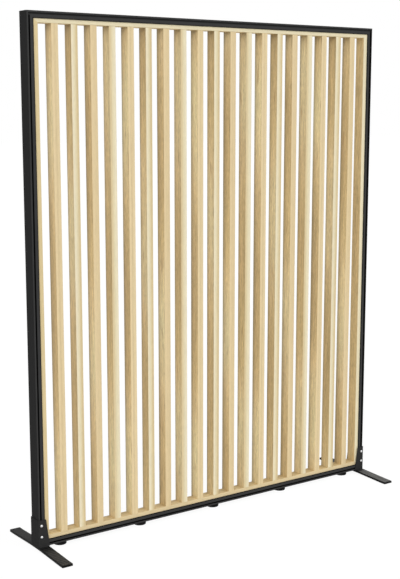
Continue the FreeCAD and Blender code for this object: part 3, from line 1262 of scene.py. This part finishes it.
@dataclass
class HiddenFixings:
    """Screws, nuts and inserts that the timber and the extrusion hide."""

    names: tuple[str, ...] = ("slat_screws", "key_screws", "foot_nuts", "glide_inserts")

    def build(self) -> list[bpy.types.Object]:
        """Dress the fixings.

        Returns:
            The dressed nodes.
        """
        zinc = ZINC_PLATE.build()
        return [dress(node, zinc) for name in self.names for node in nodes_named(name)]


class Side(Enum):
    """The screen's two ends."""

    LEFT = "left"
    RIGHT = "right"


# Lit and shaded copies of one black paint: the right bar is painted lighter for its sheen.
BAR_PAINTS = {
    Side.LEFT: {"colour": "2F2F2F", "rear_shade_colour": "191919", "shade_to": 100 * MILLIMETRE},
    Side.RIGHT: {"colour": "4C4C4C", "rear_shade_colour": "363636", "shade_to": 52 * MILLIMETRE},
}
SHOE_COLOUR = "303030"


@dataclass
class WeldBeads:
    """The two rippled weld beads of one foot, along the feet of the shoe's cheeks."""

    side: Side
    ripple_pitch: float = 1.6 * MILLIMETRE
    ripple_share: float = 0.16
    bow_share: float = 0.35
    around: int = 32
    steps: int = 150
    beads: int = 2

    def rule(self, material: bpy.types.Material) -> ShapeRule:
        """Tree that makes the beads.

        Args:
            material: Finish of the beads.

        Returns:
            The finished tree.
        """
        low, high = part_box(f"foot_welds_{self.side.value}")
        leg_size = high.z - low.z
        values = {
            "Leg": leg_size,
            "Length": high.x - low.x,
            "Pitch": self.ripple_pitch,
            "Ripple Share": self.ripple_share,
            "Bow Share": self.bow_share,
            "Around": self.around,
            "Steps": self.steps,
            "Beads": self.beads,
            "Root": (low.x, low.y + leg_size, low.z),
            "Opposite": high.y - low.y - 2 * leg_size,
        }
        tree = ShapeRule(f"weld_beads_{self.side.value}", values, material)
        leg, length, pitch, ripple_share, bow_share, *counts, root, opposite = tree.inputs()
        around, steps, beads = counts
        rod = tree.rod(around, 1.0, length, steps)
        x, y, z = tree.place()
        outward, upward = x.larger(0.0), y.larger(0.0)
        along = z + length / 2
        bend = (outward - upward) * (outward - upward) * bow_share
        ripple = (along / pitch + bend).fraction()
        reach = leg * (1 - ripple * ripple_share)
        place = tree.vector(along, outward * reach * -1.0, upward * reach)
        bead = tree.wire("GeometryNodeSetPosition", sockets={"Geometry": rod, "Position": place})
        sockets = {
            "Points": tree.row(beads, root, tree.vector(y=opposite)),
            "Instance": bead,
            "Scale": tree.vector(1.0, 1 - tree.wire("GeometryNodeInputIndex") * 2.0, 1.0),
        }
        tree.close(tree.wire("GeometryNodeInstanceOnPoints", sockets=sockets))
        return tree

    def build(self, material: bpy.types.Material) -> bpy.types.Object:
        """Make and place the beads.

        Args:
            material: Finish of the beads.

        Returns:
            The piece with both beads.
        """
        piece = self.rule(material).make()
        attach(piece, "frame")
        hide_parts(f"foot_welds_{self.side.value}")
        return piece


@dataclass
class Foot:
    """One foot: cranked bar, sheet metal shoe, weld beads and bright screws."""

    side: Side
    bar_paint: bpy.types.Material
    shoe_paint: bpy.types.Material
    bright: bpy.types.Material

    def build(self) -> list[bpy.types.Object]:
        """Dress the foot and make its weld beads.

        Returns:
            The beads and the dressed nodes.
        """
        finishes = {"bar": self.bar_paint, "shoe": self.shoe_paint, "screws": self.bright}
        made = [WeldBeads(self.side).build(self.shoe_paint)]
        for name, material in finishes.items():
            made.append(dress(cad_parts[f"foot_{name}_{self.side.value}"], material))
        return made


@dataclass
class Glide:
    """One levelling glide: moulded disc and a stem with a real thread and a spanner collar."""

    number: int
    plastic: bpy.types.Material
    zinc: bpy.types.Material
    stem_radius: float = 4.0 * MILLIMETRE
    thread_pitch: float = 1.25 * MILLIMETRE
    thread_depth: float = 0.6 * MILLIMETRE
    chamfer: float = 0.8 * MILLIMETRE
    collar_low: float = 3.0 * MILLIMETRE
    collar_height: float = 4.0 * MILLIMETRE
    collar_sides: int = 6
    around: int = 24
    steps: int = 150

    def rule(self) -> ShapeRule:
        """Tree that makes the stem.

        Returns:
            The finished tree.
        """
        low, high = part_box(f"glide_stem_{self.number}")
        values = {
            "Foot": ((low.x + high.x) / 2, (low.y + high.y) / 2, low.z),
            "Length": high.z - low.z,
            "Radius": self.stem_radius,
            "Pitch": self.thread_pitch,
            "Thread Depth": self.thread_depth,
            "Chamfer": self.chamfer,
            "Around": self.around,
            "Steps": self.steps,
            "Collar Sides": self.collar_sides,
            "Collar Radius": (high.x - low.x) / 2,
            "Collar Height": self.collar_height,
            "Collar Middle": self.collar_low + self.collar_height / 2,
        }
        tree = ShapeRule(f"threaded_stem_{self.number}", values, self.zinc)
        foot, length, radius, pitch, thread_depth, chamfer, around, steps, *collar = tree.inputs()
        collar_sides, collar_radius, collar_height, collar_middle = collar
        x, y, z = tree.place()
        height = z + length / 2
        turn = tree.maths("ARCTAN2", y, x) / math.tau
        phase = (height / pitch - turn).fraction()
        groove = 1 - abs(phase * 2.0 - 1.0)
        reach = (radius - groove * thread_depth).smaller(radius - chamfer + (length - height))
        rod = tree.rod(around, 1.0, length, steps)
        place = tree.vector(x * reach, y * reach, height)
        thread = tree.wire("GeometryNodeSetPosition", sockets={"Geometry": rod, "Position": place})
        nut = tree.moved(
            tree.rod(collar_sides, collar_radius, collar_height), tree.vector(z=collar_middle)
        )
        both = tree.wire("GeometryNodeJoinGeometry", sockets={0: [thread, nut]})
        tree.close(tree.moved(both, foot))
        return tree

    def build(self) -> list[bpy.types.Object]:
        """Dress the disc and make the stem.

        Returns:
            The disc's node and the stem.
        """
        base = dress(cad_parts[f"glide_base_{self.number}"], self.plastic)
        stem = self.rule().make()
        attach(stem, f"glide_{self.number}_stem")
        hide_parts(f"glide_stem_{self.number}")
        return [base, stem]


@dataclass
class Lamp:
    """One soft far lamp, whose light comes from one side evenly over the whole object."""

    name: str
    side: Vector
    spread: float
    power: float

    def build(self) -> bpy.types.Object:
        """Make the lamp.

        Returns:
            The lamp's object.
        """
        light = bpy.data.lights.new(self.name, "SUN")
        light.angle = self.spread
        light.energy = self.power
        lamp = new_object(self.name, light)
        lamp.location = self.side
        lamp.rotation_euler = self.side.to_track_quat("Z", "Y").to_euler()
        return lamp


@dataclass
class Studio:
    """Plain pale floor, white surroundings, soft lamps and the camera."""

    floor_half: float = 40.0
    floor_colour: Colour = (0.92, 0.92, 0.92, 1.0)
    floor_glow: float = 0.88
    floor_strength: float = 1.06
    sky_level: float = 0.527
    key_power: float = 0.89
    fill_power: float = 0.78
    lamp_spread: float = math.radians(25)
    key_side: Vector = field(default_factory=lambda: Vector((2.2, -4.0, 2.6)))
    fill_side: Vector = field(default_factory=lambda: Vector((-4.5, -3.5, 2.6)))
    camera_place: Vector = field(default_factory=lambda: Vector((-2.392993, -3.345008, 1.504775)))
    camera_turn: float = math.radians(34.913)
    camera_dip: float = math.radians(9.202)
    focal_pixels: float = 1121.769
    picture_height: float = 579.0
    sensor: float = 36.0

    def surroundings(self) -> None:
        """Light the scene evenly, with white behind it."""
        world = bpy.data.worlds.new("studio")
        bpy.context.scene.world = world
        world.use_nodes = True
        sheet = NodeSheet(world.node_tree)
        sheet.tree.nodes.clear()
        level = self.seen(sheet) * (1 - self.sky_level) + self.sky_level
        light = sheet.wire("ShaderNodeBackground", sockets={"Color": WHITE, "Strength": level})
        sheet.node("ShaderNodeOutputWorld", sockets={"Surface": light})

    def seen(self, sheet: NodeSheet) -> Wire:
        """1 for rays that the camera sees straight, mirrored or through glass.

        Args:
            sheet: Node tree in the making.

        Returns:
            The mask.
        """
        path = sheet.node("ShaderNodeLightPath")
        rays = ("Is Camera Ray", "Is Glossy Ray", "Is Transmission Ray")
        straight, mirrored, through_glass = (Wire(sheet, path.outputs[ray]) for ray in rays)
        return straight.larger(mirrored).larger(through_glass)

    def floor(self) -> bpy.types.Object:
        """Make the floor.

        Returns:
            The floor's object.
        """
        half = self.floor_half
        mesh = bpy.data.meshes.new("floor")
        corners = [(-half, -half, 0), (half, -half, 0), (half, half, 0), (-half, half, 0)]
        mesh.from_pydata(corners, [], [range(len(corners))])
        recipe = Recipe("pale floor")
        matt = recipe.wire("ShaderNodeBsdfDiffuse", sockets={"Color": self.floor_colour})
        glowing = {"Color": WHITE, "Strength": self.floor_strength}
        glow = recipe.wire("ShaderNodeEmission", sockets=glowing)
        share = self.seen(recipe) * self.floor_glow
        surface = recipe.wire("ShaderNodeMixShader", sockets={0: share, 1: matt, 2: glow})
        recipe.node("ShaderNodeOutputMaterial", sockets={"Surface": surface})
        floor = dress(new_object("floor", mesh), recipe.material)
        return floor

    def camera(self) -> bpy.types.Object:
        """Make the camera.

        Returns:
            The camera's object.
        """
        data = bpy.data.cameras.new("camera")
        data.sensor_width = self.sensor
        data.lens = self.focal_pixels * self.sensor / self.picture_height
        camera = new_object("camera", data)
        camera.location = self.camera_place
        camera.rotation_euler = Euler((math.pi / 2 - self.camera_dip, 0.0, -self.camera_turn))
        bpy.context.scene.camera = camera
        return camera

    def build(self) -> list[bpy.types.Object]:
        """Set the studio up.

        Returns:
            The floor, the lamps and the camera.
        """
        scene = bpy.context.scene
        scene.view_settings.view_transform = "Standard"
        self.surroundings()
        lamps = [
            Lamp("key", self.key_side, self.lamp_spread, self.key_power),
            Lamp("fill", self.fill_side, self.lamp_spread, self.fill_power),
        ]
        return [self.floor(), self.camera(), *[lamp.build() for lamp in lamps]]


def feet() -> list[Foot]:
    """The two feet with their finishes.

    Returns:
        The left foot, whose bar is painted darker as shade, and the right foot.
    """
    bright = BRIGHT_STEEL.build()
    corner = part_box("foot_shoe_right")[1]
    made = []
    for side, paint in BAR_PAINTS.items():
        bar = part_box(f"foot_bar_{side.value}")
        on_bar = TexturedPaint(f"textured black paint {side.value}", bar, **paint)
        on_shoe = PowderCoat(
            f"plain black paint {side.value}", (-corner, corner), grooved=False, colour=SHOE_COLOUR
        )
        made.append(Foot(side, on_bar.build(), on_shoe.build(), bright))
    return made


def glides() -> list[Glide]:
    """The five glides with their shared finishes."""
    plastic = MouldedPlastic("black moulded plastic").build()
    zinc = replace(ZINC_PLATE, name="zinc-plated stem").build()
    return [Glide(number, plastic, zinc) for number in range(1, len(nodes_named("glide_base")) + 1)]


def main() -> None:
    """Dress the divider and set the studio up."""
    logging.basicConfig(level=logging.INFO, format="%(message)s")
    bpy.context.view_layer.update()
    assemblies = [MetalFrame(), LinerBoards(), SlatRow(), HiddenFixings(), *feet(), *glides(), Studio()]
    for assembly in assemblies:
        for piece in assembly.build():
            LOG.info("%s: %s", type(assembly).__name__, piece.name)


if __name__ == "__main__":
    main()
